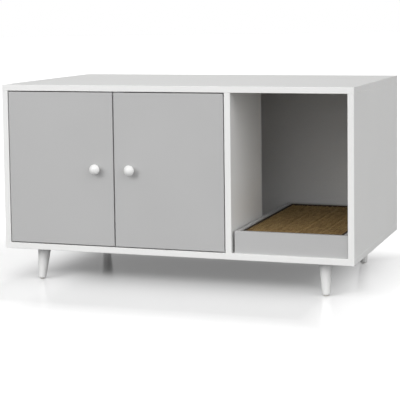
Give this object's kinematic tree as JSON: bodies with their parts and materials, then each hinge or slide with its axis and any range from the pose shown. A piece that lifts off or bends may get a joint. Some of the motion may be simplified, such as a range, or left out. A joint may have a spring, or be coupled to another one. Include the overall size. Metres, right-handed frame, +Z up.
{
  "type": "cat litter box cabinet",
  "caption": "Low cabinet on splayed tapered legs: a litter box bay behind two inset doors, and an open bay with a sliding scratching tray.",
  "frame": {"origin": "on the floor, under the middle of the whole object, knobs included", "axes": "+X to the right seen from the front, +Y from the doors towards the back panel, +Z up"},
  "size_m": [0.89, 0.543, 0.493],
  "materials": {
    "white_lacquered_board": "smooth matt white lacquer on medium-density fibreboard",
    "grey_lacquered_board": "smooth matt light grey lacquer on medium-density fibreboard",
    "white_hardboard": "thin white-faced hardboard",
    "white_painted_beech": "satin white paint on turned beech",
    "beech_dowel": "plain beech",
    "corrugated_pad": "brown corrugated card on edge",
    "zinc_plated_steel": "bright zinc plate",
    "nickel_plated_steel": "satin nickel plate",
    "die_cast_zinc": "as cast, tumbled",
    "nylon_glide": "natural nylon",
    "white_moulded_plastic": "moulded white plastic",
    "ferrite_magnet": "dark sintered ferrite"
  },
  "bodies": {
    "cabinet": {"top_panel": "white_lacquered_board", "bottom_panel": "white_lacquered_board", "left_side_panel": "white_lacquered_board", "right_side_panel": "white_lacquered_board", "divider_panel": "white_lacquered_board", "back_panel": "white_hardboard", "back_panel_screws": "zinc_plated_steel", "cam_locks": "die_cast_zinc", "cam_bolts": "zinc_plated_steel", "panel_dowels": "beech_dowel", "front_left_leg": "white_painted_beech", "front_right_leg": "white_painted_beech", "back_left_leg": "white_painted_beech", "back_right_leg": "white_painted_beech", "leg_plates": "zinc_plated_steel", "leg_bolts": "zinc_plated_steel", "leg_glides": "nylon_glide", "leg_plate_screws": "zinc_plated_steel", "catch_case": "white_moulded_plastic", "catch_magnets": "ferrite_magnet", "catch_screws": "zinc_plated_steel", "left_hinge_arms": "nickel_plated_steel", "left_hinge_plates": "zinc_plated_steel", "left_hinge_fixing_screws": "zinc_plated_steel", "right_hinge_arms": "nickel_plated_steel", "right_hinge_plates": "zinc_plated_steel", "right_hinge_fixing_screws": "zinc_plated_steel"},
    "left_door": {"left_door_panel": "grey_lacquered_board", "left_hinge_cups": "nickel_plated_steel", "left_hinge_pins": "zinc_plated_steel", "left_cup_screws": "zinc_plated_steel", "left_knob": "white_painted_beech", "left_knob_screw": "zinc_plated_steel", "left_strike_plate": "zinc_plated_steel", "left_strike_screw": "zinc_plated_steel"},
    "right_door": {"right_door_panel": "grey_lacquered_board", "right_hinge_cups": "nickel_plated_steel", "right_hinge_pins": "zinc_plated_steel", "right_cup_screws": "zinc_plated_steel", "right_knob": "white_painted_beech", "right_knob_screw": "zinc_plated_steel", "right_strike_plate": "zinc_plated_steel", "right_strike_screw": "zinc_plated_steel"},
    "tray": {"tray_front_board": "grey_lacquered_board", "tray_back_board": "grey_lacquered_board", "tray_left_board": "grey_lacquered_board", "tray_right_board": "grey_lacquered_board", "tray_base": "white_hardboard", "tray_dowels": "beech_dowel"},
    "pad": {"scratching_pad": "corrugated_pad"}
  },
  "joints": [
    {"name": "left_door_hinge", "type": "hinge", "parent": "cabinet", "child": "left_door", "pos_m": [-0.418, -0.2413, 0.288], "axis": [0, 0, -1], "range_deg": [0, 90]},
    {"name": "right_door_hinge", "type": "hinge", "parent": "cabinet", "child": "right_door", "pos_m": [0.123, -0.2413, 0.288], "axis": [0, 0, 1], "range_deg": [0, 90]},
    {"name": "tray_slide", "type": "slide", "parent": "cabinet", "child": "tray", "axis": [0, -1, 0], "range_m": [0, 0.3]},
    {"name": "pad_lift", "type": "slide", "parent": "tray", "child": "pad", "axis": [0, 0, 1], "range_m": [0, 0.06]}
  ]
}
